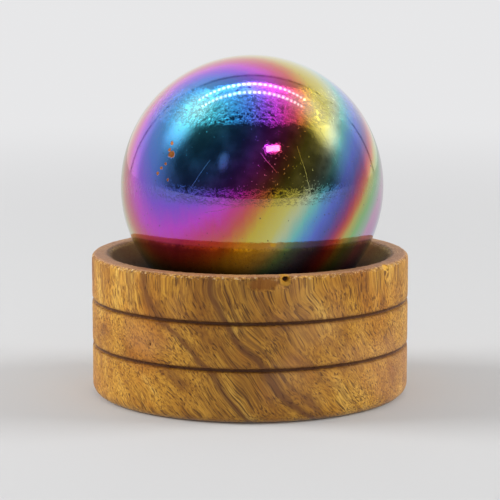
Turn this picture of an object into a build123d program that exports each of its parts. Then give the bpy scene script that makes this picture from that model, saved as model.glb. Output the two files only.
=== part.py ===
from build123d import *
import os

# A polished display sphere resting in the hollow of a one-piece turned wooden stand.
# Millimetres. +Z is up, the stand's turned axis is Z, and the origin is the centre of its foot.

# ---- Driving sizes: the sphere ----
ball_diameter = 50.0
ball_offset = 0.4            # the ball lies this far off the stand's axis, towards +X

# ---- Driving sizes: the stand ----
stand_diameter = 60.5
stand_height = 27.0
rim_width = 3.3              # the flat ring round the hollow
hollow_depth = 11.9          # the turned dish, from the rim down to its floor
seat_depth = 0.7             # the ball's own shallow socket, below the dish's floor
seat_clearance = 0.1         # between the ball and its socket

upper_groove_height = 18.3   # each groove's middle, above the foot
lower_groove_height = 9.8
groove_width = 0.75
groove_depth = 0.6

rim_edge_radius = 0.7        # the rim's outer edge
mouth_edge_radius = 0.3      # the rim's inner edge
foot_edge_radius = 2.2       # the rounded edge round the foot

# ---- Worked out from them ----
ball_radius = ball_diameter / 2
stand_radius = stand_diameter / 2
mouth_radius = stand_radius - rim_width
dish_radius = (mouth_radius**2 + hollow_depth**2) / (2 * hollow_depth)
dish_centre_height = stand_height - hollow_depth + dish_radius
socket_floor_height = stand_height - hollow_depth - seat_depth
ball_centre_height = socket_floor_height + seat_clearance + ball_radius


def ball_place():
    """Where the ball's centre rests, seen from the stand's foot."""
    return Pos(ball_offset, 0, ball_centre_height)


def groove_ring(height):
    """The ring that a round-nosed tool takes out of the stand's side at one height."""
    section = Plane.XZ * Pos(stand_radius, height) * SlotOverall(2 * groove_depth, groove_width)
    return revolve(section, Axis.Z)


def make_sphere():
    return ball_place() * Sphere(ball_radius)


def make_stand():
    stand = Cylinder(stand_radius, stand_height, align=(Align.CENTER, Align.CENTER, Align.MIN))
    stand = fillet(stand.edges().group_by(Axis.Z)[0], foot_edge_radius)
    stand = fillet(stand.edges().group_by(Axis.Z)[-1], rim_edge_radius)
    stand -= Pos(0, 0, dish_centre_height) * Sphere(dish_radius)
    rim_circles = stand.edges().group_by(Axis.Z)[-1]
    stand = fillet(rim_circles.sort_by(SortBy.RADIUS)[0], mouth_edge_radius)
    stand -= ball_place() * Sphere(ball_radius + seat_clearance)
    stand -= groove_ring(upper_groove_height)
    stand -= groove_ring(lower_groove_height)
    return stand


os.makedirs("parts", exist_ok=True)
export_step(make_sphere(), "parts/gemstone_sphere.step")
export_step(make_stand(), "parts/wooden_stand.step")
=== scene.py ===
import math

import bmesh
import bpy
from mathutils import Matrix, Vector, noise


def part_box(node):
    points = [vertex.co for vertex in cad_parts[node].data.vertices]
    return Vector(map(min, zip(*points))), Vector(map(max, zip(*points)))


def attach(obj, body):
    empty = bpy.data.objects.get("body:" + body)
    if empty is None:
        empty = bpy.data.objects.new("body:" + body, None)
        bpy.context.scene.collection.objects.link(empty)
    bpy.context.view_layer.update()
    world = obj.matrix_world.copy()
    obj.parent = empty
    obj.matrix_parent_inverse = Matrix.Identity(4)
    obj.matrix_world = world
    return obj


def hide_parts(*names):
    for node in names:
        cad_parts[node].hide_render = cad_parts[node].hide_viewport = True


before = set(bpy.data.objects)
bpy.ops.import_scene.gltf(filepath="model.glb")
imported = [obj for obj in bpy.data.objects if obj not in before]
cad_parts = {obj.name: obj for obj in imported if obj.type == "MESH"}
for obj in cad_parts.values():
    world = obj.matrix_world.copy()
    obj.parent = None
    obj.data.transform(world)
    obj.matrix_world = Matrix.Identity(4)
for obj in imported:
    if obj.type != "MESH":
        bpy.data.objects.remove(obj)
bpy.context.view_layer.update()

# ---------------------------------------------------------------- sizes, in metres
MM = 0.001
BALL_LOW, BALL_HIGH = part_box("gemstone_sphere")
STAND_LOW, STAND_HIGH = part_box("wooden_stand")
BALL_CENTRE = (BALL_LOW + BALL_HIGH) / 2
BALL_RADIUS = (BALL_HIGH.z - BALL_LOW.z) / 2 - 0.02 * MM
STAND_RADIUS = (STAND_HIGH.x - STAND_LOW.x) / 2 - 0.01 * MM
STAND_HEIGHT = STAND_HIGH.z
RIM_WIDTH = 3.3 * MM
HOLLOW_DEPTH = 11.9 * MM
SEAT_DEPTH = 0.7 * MM
SEAT_CLEARANCE = 0.1 * MM
GROOVE_HEIGHTS = (18.3 * MM, 9.8 * MM)
GROOVE_WIDTH = 0.75 * MM
GROOVE_DEPTH = 0.6 * MM
RIM_EDGE_RADIUS = 0.7 * MM
MOUTH_EDGE_RADIUS = 0.3 * MM
FOOT_EDGE_RADIUS = 2.2 * MM
MOUTH_RADIUS = STAND_RADIUS - RIM_WIDTH
DISH_RADIUS = (MOUTH_RADIUS**2 + HOLLOW_DEPTH**2) / (2 * HOLLOW_DEPTH)
DISH_CENTRE_HEIGHT = STAND_HEIGHT - HOLLOW_DEPTH + DISH_RADIUS


def on_side(degrees, height, depth=0.0):
    """A place on the stand's side: degrees round from the front towards +X, height, and depth in metres."""
    a = math.radians(degrees)
    r = STAND_RADIUS - depth
    return Vector((r * math.sin(a), -r * math.cos(a), height))


# Flaws of the wood: (degrees round, height, half width, half height, depth)
RESIN_PATCH = (4.6, 25.6 * MM, 3.1 * MM, 1.25 * MM, 0.35 * MM)
RIM_CHIP = (12.2, 26.2 * MM, 1.25 * MM, 1.3 * MM, 0.3 * MM)
WORM_HOLE = (12.4, 26.35 * MM, 0.62 * MM, 0.42 * MM, 1.1 * MM)
SIDE_CHIP = (56.5, 26.4 * MM, 1.1 * MM, 0.6 * MM, 0.35 * MM)
SIDE_NICK = (-37.1, 13.5 * MM, 0.3 * MM, 0.4 * MM, 0.35 * MM)
BACK_CHIP = (168.0, 26.5 * MM, 1.6 * MM, 0.7 * MM, 0.4 * MM)
FOOT_NICK = (-142.0, 1.2 * MM, 1.3 * MM, 0.6 * MM, 0.3 * MM)
WOOD_FLAWS = (RESIN_PATCH, RIM_CHIP, WORM_HOLE, SIDE_CHIP, SIDE_NICK, BACK_CHIP, FOOT_NICK)


# ---------------------------------------------------------------- modelling helpers
def start_clean():
    """Leaves edit mode and deselects everything."""
    if bpy.context.object and bpy.context.object.mode != "OBJECT":
        bpy.ops.object.mode_set(mode="OBJECT")
    bpy.ops.object.select_all(action="DESELECT")


def finish_piece(piece, smooth_angle=40):
    """Applies the piece's place to its mesh and smooths it."""
    start_clean()
    piece.select_set(True)
    bpy.context.view_layer.objects.active = piece
    bpy.ops.object.transform_apply(location=True, rotation=True, scale=True)
    bpy.ops.object.shade_smooth_by_angle(angle=math.radians(smooth_angle))
    piece.select_set(False)
    return piece


def select_where(test):
    """Selects the vertices of the piece in edit mode whose place passes the test."""
    mesh = bmesh.from_edit_mesh(bpy.context.object.data)
    bpy.ops.mesh.select_mode(type="VERT")
    for v in mesh.verts:
        v.select = test(v.co)
    mesh.select_flush_mode()
    bmesh.update_edit_mesh(bpy.context.object.data)


# ---------------------------------------------------------------- the ball
def make_ball():
    start_clean()
    bpy.ops.mesh.primitive_cube_add(size=2, location=(0, 0, 0))
    ball = bpy.context.object
    ball.name = "polished_ball"
    bpy.ops.object.mode_set(mode="EDIT")
    bpy.ops.mesh.subdivide(number_cuts=15)
    bpy.ops.object.mode_set(mode="OBJECT")
    rounding = ball.modifiers.new("rounding", "SUBSURF")
    rounding.subdivision_type = "SIMPLE"
    rounding.levels = rounding.render_levels = 3
    bpy.ops.object.modifier_apply(modifier="rounding")
    for v in ball.data.vertices:
        v.co = BALL_CENTRE + v.co.normalized() * BALL_RADIUS
    return finish_piece(ball, 180)


# ---------------------------------------------------------------- the stand
def arc(centre_r, centre_z, radius, first, last, steps):
    """Points of an arc of the profile, from one angle to another, in degrees."""
    points = []
    for i in range(steps + 1):
        a = math.radians(first + (last - first) * i / steps)
        points.append((centre_r + radius * math.cos(a), centre_z + radius * math.sin(a)))
    return points


def stand_profile():
    """The turned outline as (radius, height) points, from the foot's centre, up the side, to the seat."""
    foot = [(STAND_RADIUS - FOOT_EDGE_RADIUS) * i / 12 for i in range(12)]
    points = [(r, 0.0) for r in foot]
    points += arc(STAND_RADIUS - FOOT_EDGE_RADIUS, FOOT_EDGE_RADIUS, FOOT_EDGE_RADIUS, -90, 0, 8)
    half = GROOVE_WIDTH / 2
    for low_end, groove in zip((FOOT_EDGE_RADIUS, GROOVE_HEIGHTS[1] + half), reversed(GROOVE_HEIGHTS)):
        side = groove - half - low_end
        steps = round(side / (0.45 * MM))
        points += [(STAND_RADIUS, low_end + side * i / steps) for i in range(1, steps + 1)]
        points += arc(STAND_RADIUS - GROOVE_DEPTH + half, groove, half, 270, 90, 8)
        points += [(STAND_RADIUS, groove + half)]
    top_start = GROOVE_HEIGHTS[0] + half
    side = STAND_HEIGHT - RIM_EDGE_RADIUS - top_start
    steps = round(side / (0.45 * MM))
    points += [(STAND_RADIUS, top_start + side * i / steps) for i in range(1, steps)]
    points += arc(STAND_RADIUS - RIM_EDGE_RADIUS, STAND_HEIGHT - RIM_EDGE_RADIUS, RIM_EDGE_RADIUS, 0, 90, 5)
    flat = RIM_WIDTH - RIM_EDGE_RADIUS - MOUTH_EDGE_RADIUS
    points += [(STAND_RADIUS - RIM_EDGE_RADIUS - flat * i / 6, STAND_HEIGHT) for i in range(1, 7)]
    mouth = math.asin(MOUTH_RADIUS / DISH_RADIUS)
    for i in range(1, 41):
        a = mouth * (1 - i / 40)
        r = DISH_RADIUS * math.sin(a)
        z = DISH_CENTRE_HEIGHT - DISH_RADIUS * math.cos(a)
        points.append((r, z - seat_drop(r, z)))
    return points


def seat_drop(r, z):
    """How far the ball's socket lies under the dish at this radius."""
    reach = BALL_RADIUS + SEAT_CLEARANCE
    if r > reach:
        return 0.0
    socket = BALL_CENTRE.z - math.sqrt(reach**2 - r**2)
    return max(0.0, z - socket)


def make_stand():
    start_clean()
    profile = stand_profile()
    bpy.ops.mesh.primitive_plane_add(size=0.001, location=(0, 0, 0))
    stand = bpy.context.object
    stand.name = "turned_stand"
    bpy.ops.object.mode_set(mode="EDIT")
    bpy.ops.mesh.merge(type="CENTER")
    here = profile[0]
    for r, z in profile[1:]:
        step = (r - here[0], 0, z - here[1])
        bpy.ops.mesh.extrude_region_move(TRANSFORM_OT_translate={"value": step})
        here = (r, z)
    bpy.ops.mesh.select_all(action="SELECT")
    bpy.ops.mesh.spin(steps=384, angle=math.tau, center=(0, 0, 0), axis=(0, 0, 1))
    bpy.ops.mesh.select_all(action="SELECT")
    bpy.ops.mesh.remove_doubles(threshold=0.02 * MM)
    bpy.ops.mesh.normals_make_consistent(inside=False)
    for flaw in WOOD_FLAWS:
        centre = on_side(flaw[0], flaw[1])
        reach = 1.5 * max(flaw[2], flaw[3])
        select_where(lambda co, c=centre, d=reach: (co - c).length < d)
        bpy.ops.mesh.subdivide(number_cuts=2)
    bpy.ops.object.mode_set(mode="OBJECT")
    roughen(stand, "crumbled_rim", near_rim_edges, 0.42 * MM, 0.55 * MM)
    roughen(stand, "torn_groove_lips", near_groove_lips, 0.20 * MM, 0.35 * MM)
    roughen(stand, "tool_chatter", lambda co: 1.0 if co.z > 1 * MM else 0.0, 0.05 * MM, 3.0 * MM)
    for flaw in WOOD_FLAWS:
        sink_flaw(stand, *flaw)
    return finish_piece(stand, 60)


def near_rim_edges(co):
    """1 at the rim's two edges, fading within a millimetre."""
    r = math.hypot(co.x, co.y)
    outer = math.hypot(r - STAND_RADIUS, co.z - STAND_HEIGHT)
    inner = math.hypot(r - MOUTH_RADIUS, co.z - STAND_HEIGHT)
    return max(0.15 if co.z > STAND_HEIGHT - 0.1 * MM else 0.0, 1.0 - min(outer, inner) / (0.9 * MM))


def near_groove_lips(co):
    """1 at the two lips of each groove, fading within half a millimetre."""
    if math.hypot(co.x, co.y) < STAND_RADIUS - 0.1 * MM:
        return 0.0
    lips = [h + side * GROOVE_WIDTH / 2 for h in GROOVE_HEIGHTS for side in (-1, 1)]
    return max(0.0, 1.0 - min(abs(co.z - lip) for lip in lips) / (0.6 * MM))


def roughen(piece, name, weight_at, depth, grain_size):
    """Sinks part of a surface unevenly with a Displace modifier, never outwards."""
    group = piece.vertex_groups.new(name=name)
    for v in piece.data.vertices:
        weight = weight_at(v.co)
        if weight > 0:
            group.add([v.index], weight, "REPLACE")
    clouds = bpy.data.textures.new(name, "CLOUDS")
    clouds.noise_scale = grain_size
    clouds.noise_depth = 3
    wear = piece.modifiers.new(name, "DISPLACE")
    wear.texture = clouds
    wear.texture_coords = "LOCAL"
    wear.vertex_group = name
    wear.strength = depth
    wear.mid_level = 1.0
    start_clean()
    bpy.context.view_layer.objects.active = piece
    bpy.ops.object.modifier_apply(modifier=name)


def sink_flaw(piece, degrees, height, half_width, half_height, depth):
    """Pushes a ragged hollow into the side towards the axis."""
    centre = on_side(degrees, height)
    across = Vector((math.cos(math.radians(degrees)), math.sin(math.radians(degrees)), 0))
    inward = Vector((-centre.x, -centre.y, 0)).normalized()
    for v in piece.data.vertices:
        offset = v.co - centre
        if offset.length > 2 * max(half_width, half_height):
            continue
        reach = math.hypot(offset.dot(across) / half_width, offset.z / half_height)
        reach += 0.25 * noise.noise(v.co * 1400)
        share = max(0.0, min(1.0, (1.1 - reach) / 0.35))
        v.co += inward * depth * share


# ---------------------------------------------------------------- shader helpers
def srgb(r, g, b):
    """A colour written as 0 to 255 display values, as linear values."""
    def linear(c):
        c /= 255
        return c / 12.92 if c <= 0.04045 else ((c + 0.055) / 1.055) ** 2.4
    return (linear(r), linear(g), linear(b), 1.0)


class Shader:
    """A node tree that is written as short formulas."""

    def __init__(self, name):
        self.material = bpy.data.materials.new(name)
        self.material.use_nodes = True
        self.tree = self.material.node_tree
        self.surface = self.tree.nodes["Principled BSDF"]
        self.place = self.node("ShaderNodeTexCoord").outputs["Object"]

    def node(self, kind, **settings):
        made = self.tree.nodes.new(kind)
        for key, value in settings.items():
            setattr(made, key, value)
        return made

    def feed(self, socket, value):
        if isinstance(value, bpy.types.NodeSocket):
            self.tree.links.new(value, socket)
        else:
            socket.default_value = value

    def maths(self, operation, a, b=0.0, c=0.0, clamp=False):
        made = self.node("ShaderNodeMath", operation=operation, use_clamp=clamp)
        for socket, value in zip(made.inputs, (a, b, c)):
            self.feed(socket, value)
        return made.outputs[0]

    def vector(self, operation, a, b=(0, 0, 0), scale=1.0):
        made = self.node("ShaderNodeVectorMath", operation=operation)
        self.feed(made.inputs[0], a)
        self.feed(made.inputs[1], b)
        if operation == "SCALE":
            self.feed(made.inputs["Scale"], scale)
        return made.outputs["Value" if operation in ("DOT_PRODUCT", "LENGTH", "DISTANCE") else "Vector"]

    def parts(self, vector):
        made = self.node("ShaderNodeSeparateXYZ")
        self.feed(made.inputs[0], vector)
        return made.outputs[0], made.outputs[1], made.outputs[2]

    def join(self, x, y, z):
        made = self.node("ShaderNodeCombineXYZ")
        for socket, value in zip(made.inputs, (x, y, z)):
            self.feed(socket, value)
        return made.outputs[0]

    def cloud(self, vector, scale, detail=2.0, roughness=0.5, distortion=0.0, colour=False):
        made = self.node("ShaderNodeTexNoise")
        self.feed(made.inputs["Vector"], vector)
        made.inputs["Scale"].default_value = scale
        made.inputs["Detail"].default_value = detail
        made.inputs["Roughness"].default_value = roughness
        made.inputs["Distortion"].default_value = distortion
        return made.outputs["Color" if colour else "Fac"]

    def cells(self, vector, scale, output="Distance"):
        made = self.node("ShaderNodeTexVoronoi")
        self.feed(made.inputs["Vector"], vector)
        made.inputs["Scale"].default_value = scale
        return made.outputs[output]

    def step(self, value, low, high, first=0.0, last=1.0):
        made = self.node("ShaderNodeMapRange", interpolation_type="SMOOTHSTEP")
        for socket, v in zip(made.inputs, (value, low, high, first, last)):
            self.feed(socket, v)
        return made.outputs[0]

    def ramp(self, value, stops):
        made = self.node("ShaderNodeValToRGB")
        self.feed(made.inputs[0], value)
        elements = made.color_ramp.elements
        while len(elements) < len(stops):
            elements.new(0.5)
        for element, (position, colour) in zip(elements, stops):
            element.position = position
            element.color = colour
        return made.outputs[0]

    def mix(self, share, a, b, blend="MIX"):
        made = self.node("ShaderNodeMix", data_type="RGBA", blend_type=blend)
        self.feed(made.inputs[0], share)
        self.feed(made.inputs[6], a)
        self.feed(made.inputs[7], b)
        return made.outputs[2]

    def bump(self, height, distance, strength=1.0, under=None):
        made = self.node("ShaderNodeBump")
        made.inputs["Strength"].default_value = strength
        made.inputs["Distance"].default_value = distance
        self.feed(made.inputs["Height"], height)
        if under is not None:
            self.feed(made.inputs["Normal"], under)
        return made.outputs[0]


# ---------------------------------------------------------------- the rainbow coating
# The coating's colour order runs from near 0 around COATING_PEAK to about 190 on the far side.
COATING_PEAK = (-0.379, -0.677, 0.631)
COATING_LEAN = (7.1, 9.2, 10.9)
COATING_FOLD_AXIS = (0.58, 0.185, 0.794)
COATING_FOLD = -20.8
COATING_START = 6.3
COATING_END = 200.0
COATING_COLOURS = [
    (0, (150, 245, 248)), (10, (80, 220, 245)), (19, (50, 165, 240)), (26, (75, 125, 238)),
    (31, (140, 78, 240)), (36, (215, 55, 228)), (40, (222, 50, 150)), (44, (222, 84, 80)),
    (47, (222, 135, 45)), (51, (222, 196, 45)), (57, (224, 216, 105)), (61, (208, 222, 170)),
    (66, (120, 212, 208)), (70, (92, 165, 228)), (74, (88, 115, 228)), (78, (76, 84, 185)),
    (82, (132, 40, 135)), (85, (192, 42, 84)), (88, (222, 108, 50)), (91, (205, 195, 88)),
    (96, (140, 205, 125)), (101, (165, 195, 175)), (106, (220, 150, 205)), (114, (190, 90, 190)),
    (122, (110, 90, 225)), (132, (70, 170, 230)), (142, (110, 215, 190)), (152, (200, 210, 90)),
    (162, (225, 140, 80)), (172, (215, 70, 150)), (184, (130, 80, 215)), (200, (70, 160, 225)),
]


# Flaws in the coating, as directions from the ball's centre, with a reach in radians.
ORANGE_FLECKS = [
    ((-0.586, -0.743, 0.323), 0.022), ((-0.600, -0.717, 0.356), 0.010), ((-0.583, -0.704, 0.400), 0.012),
    ((-0.628, -0.735, 0.255), 0.009), ((-0.662, -0.716, 0.221), 0.008), ((-0.690, -0.701, 0.180), 0.010),
    ((-0.615, -0.776, 0.140), 0.007), ((0.30, 0.82, 0.49), 0.016), ((0.33, 0.84, 0.43), 0.009),
]
HAIRLINES = [
    ((0.319, -0.857, 0.405), (0.430, -0.903, 0.012), 0.0022),
    ((0.06, -0.93, 0.36), (0.17, -0.96, 0.22), 0.0016),
    ((-0.30, -0.90, 0.31), (-0.44, -0.89, 0.10), 0.0014),
    ((0.10, -0.99, 0.02), (-0.35, -0.93, -0.08), 0.0018),
    ((0.45, -0.70, 0.55), (0.62, -0.74, 0.26), 0.0016),
    ((-0.70, 0.52, 0.49), (-0.40, 0.90, 0.17), 0.0018),
    ((0.80, 0.55, 0.24), (0.52, 0.80, 0.30), 0.0014),
]


def coating_material():
    s = Shader("rainbow_coated_stone")
    outward = s.vector("NORMALIZE", s.vector("SUBTRACT", s.place, tuple(BALL_CENTRE)))

    # the colour order, by place on the ball
    angle = s.maths("ARCCOSINE", s.vector("DOT_PRODUCT", outward, COATING_PEAK))
    angle = s.maths("MULTIPLY", angle, 180 / math.pi)
    lean = s.vector("DOT_PRODUCT", outward, COATING_LEAN)
    fold = s.vector("DOT_PRODUCT", outward, COATING_FOLD_AXIS)
    fold = s.maths("MULTIPLY", s.maths("MULTIPLY", fold, fold), COATING_FOLD)
    drift = s.maths("MULTIPLY_ADD", s.cloud(outward, 2.3, 2.0), 4.0, -2.0 + COATING_START)
    brushed = s.cloud(s.vector("MULTIPLY", outward, (9, 9, 2)), 2.0, 4.0, 0.6)
    drift = s.maths("MULTIPLY_ADD", brushed, 3.0, s.maths("SUBTRACT", drift, 1.5))
    order = s.maths("ADD", s.maths("ADD", angle, lean), s.maths("ADD", fold, drift))
    order = s.maths("MULTIPLY", order, 1 / COATING_END)
    colour = s.ramp(order, [(t / COATING_END, srgb(*c)) for t, c in COATING_COLOURS])

    # orange flecks where the coating has lifted
    ragged = s.maths("MULTIPLY_ADD", s.cloud(outward, 30, 4.0, 0.75), 0.040, -0.020)
    fleck = 0.0
    for direction, reach in ORANGE_FLECKS:
        away = s.vector("DISTANCE", outward, tuple(Vector(direction).normalized()))
        away = s.maths("ADD", away, ragged)
        fleck = s.maths("MAXIMUM", fleck, s.step(away, reach * 1.0, reach * 1.5, 1.0, 0.0))
    colour = s.mix(fleck, colour, srgb(226, 132, 38))

    # hairline scratches, each on a great circle between two directions
    scratch = 0.0
    wobble = s.maths("MULTIPLY_ADD", s.cloud(outward, 12, 3.0, 0.6), 0.02, -0.01)
    for first, last, width in HAIRLINES:
        first, last = Vector(first).normalized(), Vector(last).normalized()
        across = s.vector("DOT_PRODUCT", outward, tuple(first.cross(last).normalized()))
        across = s.maths("ABSOLUTE", s.maths("ADD", across, wobble))
        middle = (first + last).normalized()
        near = s.vector("DISTANCE", outward, tuple(middle))
        reach = (first - last).length / 2
        thin = s.step(across, 0, width, 1.0, 0.0)
        line = s.maths("MULTIPLY", thin, s.step(near, reach * 0.8, reach, 1.0, 0.0))
        scratch = s.maths("MAXIMUM", scratch, line)

    # pinholes and specks, in a few of the cells of a fine scatter
    chance = s.parts(s.cells(outward, 34, output="Color"))[0]
    spot = s.step(s.cells(outward, 34), 0.10, 0.20, 1.0, 0.0)
    pinhole = s.maths("MULTIPLY", spot, s.maths("GREATER_THAN", chance, 0.85))
    chance = s.parts(s.cells(outward, 75, output="Color"))[1]
    spot = s.step(s.cells(outward, 75), 0.12, 0.24, 1.0, 0.0)
    patchy = s.step(s.cloud(outward, 3.1, 2.0), 0.5, 0.62)
    dust = s.maths("MULTIPLY", s.maths("MULTIPLY", spot, s.maths("GREATER_THAN", chance, 0.80)), patchy)
    colour = s.mix(s.maths("MULTIPLY", pinhole, 0.75), colour, srgb(40, 40, 52))
    colour = s.mix(s.maths("MULTIPLY", dust, 0.3), colour, srgb(225, 225, 215))
    colour = s.mix(s.maths("MULTIPLY", scratch, 0.16), colour, srgb(235, 225, 190))

    s.feed(s.surface.inputs["Base Color"], colour)
    s.surface.inputs["Metallic"].default_value = 1.0
    s.surface.inputs["Coat Weight"].default_value = 1.0
    s.surface.inputs["Coat Roughness"].default_value = 0.03
    s.surface.inputs["Coat IOR"].default_value = 1.7
    haze = s.step(s.cloud(outward, 9, 6.0, 0.7), 0.42, 0.72, 0.03, 0.075)
    marks = s.maths("MAXIMUM", s.maths("MAXIMUM", fleck, scratch), s.maths("MAXIMUM", pinhole, dust))
    s.feed(s.surface.inputs["Roughness"], s.maths("MULTIPLY_ADD", marks, 0.22, haze))
    # fine orange-peel in a belt round the upper half, and cuts at the marks
    belt = s.step(s.maths("ABSOLUTE", s.maths("SUBTRACT", s.parts(outward)[2], 0.66)), 0.02, 0.16, 1.0, 0.0)
    low_belt = s.maths("ABSOLUTE", s.maths("SUBTRACT", s.parts(outward)[2], 0.04))
    low_belt = s.step(low_belt, 0.01, 0.10, 0.4, 0.0)
    belt = s.maths("MAXIMUM", belt, low_belt)
    hammered = s.step(s.cloud(outward, 26, 4.0, 0.72), 0.42, 0.66)
    peel = s.maths("MULTIPLY", hammered, s.maths("MULTIPLY_ADD", belt, 0.97, 0.03))
    dents = s.bump(peel, 0.11 * MM, 1.0)
    s.feed(s.surface.inputs["Normal"], s.bump(s.maths("SUBTRACT", 1.0, marks), 0.06 * MM, 0.8, dents))
    return s.material


# ---------------------------------------------------------------- the wood
FIBRE_SLOPE = math.radians(50)      # the fibres run down to the right, seen from the front
FIBRE_BEND_FROM = 16 * MM           # above this height they turn steeper
FIBRE_BEND = 26.0
GROWTH_LINES = (
    (8.4 * MM, 1.1 * MM, 0.85), (10.5 * MM, 0.6 * MM, 0.6),
    (0.0 * MM, 1.0 * MM, 0.8), (16.0 * MM, 0.6 * MM, 0.4),
)


def flaw_mask(s, flaw, ragged, grow=1.0, edge=0.25):
    """1 inside a flaw of the side, with a ragged edge."""
    degrees, height, half_width, half_height, _ = flaw
    offset = s.vector("SUBTRACT", s.place, tuple(on_side(degrees, height)))
    turn = math.radians(degrees)
    across = s.vector("DOT_PRODUCT", offset, (math.cos(turn) / half_width, math.sin(turn) / half_width, 0))
    upward = s.maths("MULTIPLY", s.parts(offset)[2], 1 / half_height)
    depthwise = s.vector("DOT_PRODUCT", offset, (math.sin(turn), -math.cos(turn), 0))
    reach = s.vector("LENGTH", s.join(across, upward, 0.0))
    inside = s.step(s.maths("ADD", reach, ragged), grow - edge, grow, 1.0, 0.0)
    return s.maths("MULTIPLY", inside, s.step(depthwise, -3 * MM, -2 * MM))


def wood_material():
    s = Shader("oiled_turned_wood")
    x, y, z = s.parts(s.place)

    # fibre coordinates: along the fibre, across it in the front plane, and through the block
    slope_x, slope_z = math.cos(FIBRE_SLOPE), math.sin(FIBRE_SLOPE)
    along = s.vector("DOT_PRODUCT", s.place, (slope_x, 0, -slope_z))
    across = s.vector("DOT_PRODUCT", s.place, (slope_z, 0, slope_x))
    over = s.maths("MAXIMUM", s.maths("SUBTRACT", z, FIBRE_BEND_FROM), 0.0)
    across = s.maths("SUBTRACT", across, s.maths("MULTIPLY", s.maths("MULTIPLY", over, over), FIBRE_BEND))
    wander = s.parts(s.cloud(s.place, 70, 2.0, 0.5, colour=True))
    across = s.maths("ADD", across, s.maths("MULTIPLY_ADD", wander[0], 5 * MM, -2.5 * MM))
    through = s.maths("ADD", y, s.maths("MULTIPLY_ADD", wander[1], 5 * MM, -2.5 * MM))

    def fibre_space(stretch):
        return s.join(s.maths("MULTIPLY", along, stretch), across, through)

    # broad figure, dark growth streaks, fine fibre and open pores
    figure = s.cloud(fibre_space(0.22), 190, 4.0, 0.6)
    colour = s.ramp(figure, [
        (0.30, srgb(142, 88, 20)), (0.43, srgb(182, 126, 34)),
        (0.56, srgb(206, 151, 50)), (0.72, srgb(228, 182, 84)),
    ])
    warm = s.step(s.cloud(s.place, 75, 3.0, 0.6), 0.48, 0.70)
    colour = s.mix(s.maths("MULTIPLY", warm, 0.5), colour, srgb(182, 110, 30))
    # two growth lines sweep across the front, and fainter ones lie between them
    ray_line = 0.0
    for place_across, half_width, share in GROWTH_LINES:
        sway = s.cloud(fibre_space(0.1), 420, 3.0, 0.6)
        spread = s.maths("MULTIPLY_ADD", sway, 2.4 * MM, place_across - 1.2 * MM)
        apart = s.maths("ABSOLUTE", s.maths("SUBTRACT", across, spread))
        ray_line = s.maths("MAXIMUM", ray_line, s.step(apart, 0.1 * half_width, half_width, share, 0.0))
    streak = s.step(s.cloud(fibre_space(0.04), 420, 3.0, 0.55), 0.57, 0.70, 0.0, 0.5)
    front = s.step(y, -10 * MM, -20 * MM)
    streak = s.maths("MAXIMUM", streak, s.maths("MULTIPLY", ray_line, front))
    colour = s.mix(streak, colour, srgb(104, 60, 28))
    fibre = s.cloud(fibre_space(0.035), 3300, 4.0, 0.66)
    colour = s.mix(s.step(fibre, 0.36, 0.60, 0.72, 0.0), colour, srgb(116, 68, 22))
    crowd = s.step(s.cloud(s.place, 110, 2.0, 0.5), 0.35, 0.65, 0.06, 0.0)
    pore_cloud = s.cloud(fibre_space(0.028), 3000, 1.0, 0.4)
    pores = s.step(s.maths("SUBTRACT", pore_cloud, crowd), 0.57, 0.64)
    colour = s.mix(s.maths("MULTIPLY", pores, 0.72), colour, srgb(84, 44, 16))
    mottle = s.step(s.cloud(s.place, 620, 3.0, 0.6), 0.52, 0.68)
    sideways = s.step(s.maths("ABSOLUTE", x), 0.55 * STAND_RADIUS, 0.95 * STAND_RADIUS)
    mottle = s.maths("MULTIPLY", s.maths("MULTIPLY", mottle, sideways), 0.2)
    colour = s.mix(mottle, colour, srgb(150, 104, 66))
    blush = s.maths("MULTIPLY", s.step(s.cloud(s.place, 48, 2.0, 0.5), 0.52, 0.68), 0.22)
    colour = s.mix(blush, colour, srgb(196, 146, 108))

    radius = s.vector("LENGTH", s.join(x, y, 0.0))
    ragged = s.cloud(s.place, 1300, 4.0, 0.65)
    ragged_edge = s.maths("MULTIPLY_ADD", ragged, 0.9, -0.45)
    ragged_z = s.maths("MULTIPLY_ADD", ragged, 0.42 * MM, s.maths("ADD", z, -0.21 * MM))

    # the hollow is darker towards its floor, where painted shade turns it nearly black, and its upper wall is
    # olive brown
    inside = s.maths("MULTIPLY", s.step(radius, MOUTH_RADIUS - 0.8 * MM, MOUTH_RADIUS + 0.1 * MM, 1.0, 0.0),
                     s.step(z, 6 * MM, 8 * MM))
    colour = s.mix(s.maths("MULTIPLY", inside, 0.8), colour, srgb(142, 98, 54))
    # painted shade: the lower wall and floor of the hollow are coloured near black, darkest at the bottom
    hollow_painted_shade = s.step(radius, 0.78 * MOUTH_RADIUS, 0.96 * MOUTH_RADIUS, 0.96, 0.0)
    colour = s.mix(s.maths("MULTIPLY", hollow_painted_shade, inside), colour, srgb(24, 15, 9))

    # the rim: pinkish brown end to end, with crumbs along its edges
    rim = s.maths("MULTIPLY", s.step(ragged_z, STAND_HEIGHT - 0.35 * MM, STAND_HEIGHT - 0.12 * MM),
                  s.step(radius, MOUTH_RADIUS - 0.9 * MM, MOUTH_RADIUS - 0.2 * MM))
    colour = s.mix(s.maths("MULTIPLY", rim, 0.72), colour, srgb(172, 124, 92))
    edge_z = s.step(z, STAND_HEIGHT - 1.0 * MM, STAND_HEIGHT - 0.5 * MM)
    edge_r = s.step(radius, STAND_RADIUS - 0.9 * MM, STAND_RADIUS - 0.4 * MM)
    edge = s.maths("MULTIPLY", edge_z, edge_r)
    crumbs = s.cloud(s.place, 1900, 2.0, 0.7)
    colour = s.mix(s.maths("MULTIPLY", s.step(crumbs, 0.56, 0.64, 0, 0.5), edge), colour, srgb(232, 204, 158))
    dark_crumbs = s.maths("MULTIPLY", s.step(crumbs, 0.36, 0.44, 0.75, 0.0), edge)
    colour = s.mix(dark_crumbs, colour, srgb(104, 62, 34))

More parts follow.
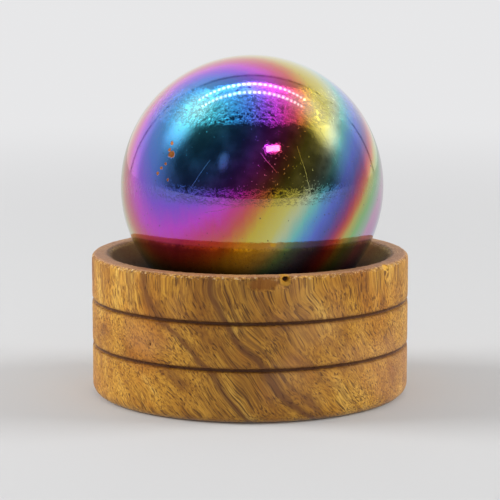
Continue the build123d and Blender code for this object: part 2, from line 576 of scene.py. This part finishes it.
    # burnt grooves with a scorched margin
    burn, scorch = 0.0, 0.0
    for height in GROOVE_HEIGHTS:
        near = s.maths("ABSOLUTE", s.maths("SUBTRACT", ragged_z, height))
        burn = s.maths("MAXIMUM", burn, s.step(near, 0.16 * MM, 0.42 * MM, 0.9, 0.0))
        scorch = s.maths("MAXIMUM", scorch, s.step(near, 0.3 * MM, 1.1 * MM, 1.0, 0.0))
    outside = s.step(radius, STAND_RADIUS - 1.5 * MM, STAND_RADIUS - 1.0 * MM)
    colour = s.mix(s.maths("MULTIPLY", s.maths("MULTIPLY", scorch, outside), 0.38), colour, srgb(104, 60, 24))
    colour = s.mix(s.maths("MULTIPLY", burn, outside), colour, srgb(76, 40, 16))

    # resin, chips, worm hole and nicks
    for flaw, tint, share in (
        (RESIN_PATCH, (150, 88, 8), 0.78), (RIM_CHIP, (206, 148, 34), 0.8), (WORM_HOLE, (60, 26, 10), 0.9),
        (SIDE_CHIP, (230, 178, 70), 0.8), (SIDE_NICK, (70, 36, 18), 0.8), (BACK_CHIP, (214, 166, 84), 0.7),
        (FOOT_NICK, (150, 100, 50), 0.7),
    ):
        mask = flaw_mask(s, flaw, ragged_edge, 1.05, 0.45)
        colour = s.mix(s.maths("MULTIPLY", mask, share), colour, srgb(*tint))

    s.feed(s.surface.inputs["Base Color"], colour)
    satin = s.step(fibre, 0.3, 0.7, 0.60, 0.42)
    s.feed(s.surface.inputs["Roughness"], s.maths("MULTIPLY_ADD", inside, 0.3, satin))
    s.surface.inputs["Specular IOR Level"].default_value = 0.4
    low = s.bump(fibre, 0.05 * MM, 0.7)
    open_pores = s.bump(s.maths("SUBTRACT", 1.0, pores), 0.10 * MM, 0.8, low)
    crumbly = s.maths("MULTIPLY", crumbs, s.maths("MAXIMUM", edge, rim))
    s.feed(s.surface.inputs["Normal"], s.bump(crumbly, 0.18 * MM, 0.7, open_pores))
    return s.material


# ---------------------------------------------------------------- building the object
ball = make_ball()
ball.data.materials.append(coating_material())
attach(ball, "root")
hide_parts("gemstone_sphere")

stand = make_stand()
stand.data.materials.append(wood_material())
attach(stand, "root")
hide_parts("wooden_stand")


# ---------------------------------------------------------------- floor, light and camera
FLOOR_COLOUR = (0.55, 0.55, 0.55, 1.0)
FLOOR_SIZE = 12.0
WORLD_PALE = (0.80, 0.80, 0.81, 1.0)
WORLD_STRENGTH = 0.70
TENT_DIM = 0.07
MIRRORED_FLOOR = 0.58
TABLE_REACH = 0.62
SIDE_GLOW = ((0.56, 0.17, 0.81), (0.80, 0.02, 0.60))


def make_floor():
    start_clean()
    bpy.ops.mesh.primitive_plane_add(size=FLOOR_SIZE, location=(0, 0, 0))
    floor = bpy.context.object
    floor.name = "floor"
    s = Shader("pale_floor")
    s.surface.inputs["Base Color"].default_value = FLOOR_COLOUR
    s.surface.inputs["Roughness"].default_value = 0.9
    s.surface.inputs["Specular IOR Level"].default_value = 0.1
    # The camera sees the floor pass into the pale backdrop. Mirrors don't see the lit floor: they see an
    # even grey (MIRRORED_FLOOR), and a darker one (TENT_DIM) beyond the table's front edge.
    path = s.node("ShaderNodeLightPath")
    far = s.step(s.vector("LENGTH", s.place), 0.06, 0.55)
    backdrop = s.node("ShaderNodeEmission")
    backdrop.inputs["Color"].default_value = WORLD_PALE
    faded = s.node("ShaderNodeMixShader")
    s.feed(faded.inputs[0], s.maths("MULTIPLY", far, path.outputs["Is Camera Ray"]))
    s.feed(faded.inputs[1], s.surface.outputs[0])
    s.feed(faded.inputs[2], backdrop.outputs[0])
    dimmed = s.node("ShaderNodeEmission")
    dimmed.inputs["Color"].default_value = (MIRRORED_FLOOR, MIRRORED_FLOOR, MIRRORED_FLOOR, 1)
    mirrored = s.node("ShaderNodeMixShader")
    s.feed(mirrored.inputs[0], path.outputs["Is Glossy Ray"])
    s.feed(mirrored.inputs[1], faded.outputs[0])
    s.feed(mirrored.inputs[2], dimmed.outputs[0])
    beyond = s.step(s.parts(s.place)[1], -TABLE_REACH, -TABLE_REACH + 0.05, 1.0, 0.0)
    dim = s.node("ShaderNodeEmission")
    dim.inputs["Color"].default_value = (TENT_DIM, TENT_DIM, TENT_DIM, 1)
    ended = s.node("ShaderNodeMixShader")
    s.feed(ended.inputs[0], s.maths("MULTIPLY", beyond, path.outputs["Is Glossy Ray"]))
    s.feed(ended.inputs[1], mirrored.outputs[0])
    s.feed(ended.inputs[2], dim.outputs[0])
    s.feed(s.tree.nodes["Material Output"].inputs["Surface"], ended.outputs[0])
    floor.data.materials.append(s.material)


class WorldShader(Shader):
    """The same short formulas, for the world."""

    def __init__(self, name):
        self.world = bpy.data.worlds.new(name)
        self.world.use_nodes = True
        self.tree = self.world.node_tree
        self.tree.nodes.clear()
        self.place = self.node("ShaderNodeTexCoord").outputs["Generated"]

    def light(self, colour, strength):
        made = self.node("ShaderNodeBackground")
        made.inputs["Color"].default_value = colour
        self.feed(made.inputs["Strength"], strength)
        return made.outputs[0]

    def choose(self, share, a, b):
        made = self.node("ShaderNodeMixShader")
        for socket, value in zip(made.inputs, (share, a, b)):
            self.feed(socket, value)
        return made.outputs[0]


def make_world():
    """Pale all round for the camera and for the light on the object.

    Mirrors see something else: a light tent with a dark opening on the camera's side, a seam line, a faint
    spot, and a glow at each side brighter than the pale walls. None of this lights or shows anywhere else.
    """
    w = WorldShader("studio")
    bpy.context.scene.world = w.world
    x, y, z = w.parts(w.place)
    walls = w.ramp(w.maths("MULTIPLY_ADD", y, 0.5, 0.5), [
        (0.27, (TENT_DIM, TENT_DIM, TENT_DIM, 1)), (0.36, (0.11, 0.11, 0.11, 1)),
        (0.46, (0.42, 0.42, 0.42, 1)),
        (0.56, (0.62, 0.62, 0.62, 1)), (0.72, (0.72, 0.72, 0.72, 1)), (0.78, (1, 1, 1, 1)),
    ])
    uneven = w.step(w.cloud(w.place, 4.0, 3.0, 0.6), 0.35, 0.7, 0.6, 1.5)
    dim_side = w.step(y, -0.35, 0.0, 1.0, 0.0)
    uneven = w.maths("MULTIPLY_ADD", w.maths("SUBTRACT", uneven, 1.0), dim_side, 1.0)
    walls = w.maths("MULTIPLY", w.parts(walls)[0], uneven)
    seam = w.maths("ABSOLUTE", w.maths("ADD", w.maths("MULTIPLY_ADD", z, 0.25, -0.70), y))
    walls = w.maths("MULTIPLY", walls, w.step(seam, 0.008, 0.026, 0.45, 1.0))
    glimpse = w.vector("MULTIPLY", w.vector("SUBTRACT", w.place, (-0.41, -0.79, 0.46)), (11, 11, 4))
    walls = w.maths("ADD", walls, w.step(w.vector("LENGTH", glimpse), 0.3, 1.1, 0.30, 0.0))
    glow_at = w.join(w.maths("ABSOLUTE", x), y, z)
    first, last = (Vector(end) for end in SIDE_GLOW)
    run = last - first
    offset = w.vector("SUBTRACT", glow_at, tuple(first))
    share = w.vector("DOT_PRODUCT", offset, tuple(run))
    share = w.maths("MULTIPLY", share, 1 / run.length_squared, clamp=True)
    nearest = w.join(*(w.maths("MULTIPLY_ADD", share, run[i], first[i]) for i in range(3)))
    fibres = w.cloud(w.vector("MULTIPLY", w.place, (3, 3, 12)), 3.0, 3.0, 0.7)
    reach = w.maths("MULTIPLY_ADD", fibres, 0.10, w.vector("DISTANCE", glow_at, nearest))
    glow = w.maths("MULTIPLY", w.step(reach, 0.07, 0.36, 1.0, 0.0), w.maths("MULTIPLY_ADD", share, -1.3, 2.3))
    mirrored = w.light(WORLD_PALE, w.maths("ADD", walls, glow))
    plain = w.light(WORLD_PALE, WORLD_STRENGTH)
    backdrop = w.light(WORLD_PALE, 1.0)
    path = w.node("ShaderNodeLightPath")
    lit = w.choose(path.outputs["Is Glossy Ray"], plain, mirrored)
    out = w.node("ShaderNodeOutputWorld")
    w.feed(out.inputs["Surface"], w.choose(path.outputs["Is Camera Ray"], lit, backdrop))


def make_lamp(name, place, size, power, target=(0, 0, 0.03)):
    data = bpy.data.lights.new(name, "AREA")
    data.shape = "RECTANGLE"
    data.size, data.size_y = size
    data.energy = power
    lamp = bpy.data.objects.new(name, data)
    bpy.context.scene.collection.objects.link(lamp)
    lamp.location = place
    lamp.rotation_euler = (Vector(target) - Vector(place)).to_track_quat("-Z", "Y").to_euler()
    return lamp


STRIP_HEIGHT = 0.55
STRIP_LENGTH = 0.66
STRIP_WIDTH = 0.048
STRIP_DOTS = 24


def make_strip(name, y):
    """A strip of small lamps overhead that only mirrors see. It gives no light to matt surfaces."""
    start_clean()
    bpy.ops.mesh.primitive_plane_add(size=1, location=(0, y, STRIP_HEIGHT), rotation=(math.pi, 0, 0))
    strip = bpy.context.object
    strip.name = name
    strip.scale = (STRIP_LENGTH, STRIP_WIDTH, 1)
    bpy.ops.object.transform_apply(location=True, rotation=True, scale=True)
    s = Shader(name)
    x, y_here, _ = s.parts(s.place)
    along = s.maths("MULTIPLY", s.maths("ADD", x, 2 * STRIP_LENGTH), STRIP_DOTS / STRIP_LENGTH)
    along = s.maths("FRACT", along)
    along = s.maths("MULTIPLY", s.maths("SUBTRACT", along, 0.5), 2.0)
    aside = s.maths("MULTIPLY", s.maths("SUBTRACT", y_here, y), 2 / STRIP_WIDTH)
    dot = s.step(s.vector("LENGTH", s.join(along, aside, 0.0)), 0.35, 1.0, 9.0, 1.3)
    glow = s.node("ShaderNodeEmission")
    s.feed(glow.inputs["Strength"], dot)
    s.feed(s.tree.nodes["Material Output"].inputs["Surface"], glow.outputs[0])
    strip.data.materials.append(s.material)
    strip.visible_camera = strip.visible_diffuse = strip.visible_shadow = False


def make_camera():
    data = bpy.data.cameras.new("camera")
    data.sensor_width = 36
    data.lens = 158.5
    data.clip_start, data.clip_end = 0.01, 50
    camera = bpy.data.objects.new("camera", data)
    bpy.context.scene.collection.objects.link(camera)
    camera.location = (0, -0.4166, 0.0914)
    camera.rotation_euler = (math.radians(81.234), math.radians(0.0), 0)
    bpy.context.scene.camera = camera


make_floor()
make_world()
left = make_lamp("left_softbox", (-0.62, 0.02, 0.32), (0.35, 0.35), 4.8)
right = make_lamp("right_softbox", (0.62, 0.02, 0.32), (0.35, 0.35), 3.8)
left.visible_glossy = right.visible_glossy = False
make_lamp("window_softbox", (0.286, -0.725, 0.65), (0.19, 0.085), 0.25)
make_strip("back_strip", 0.13)
make_strip("front_strip", 0.035)
make_camera()
bpy.context.scene.view_settings.view_transform = "Standard"
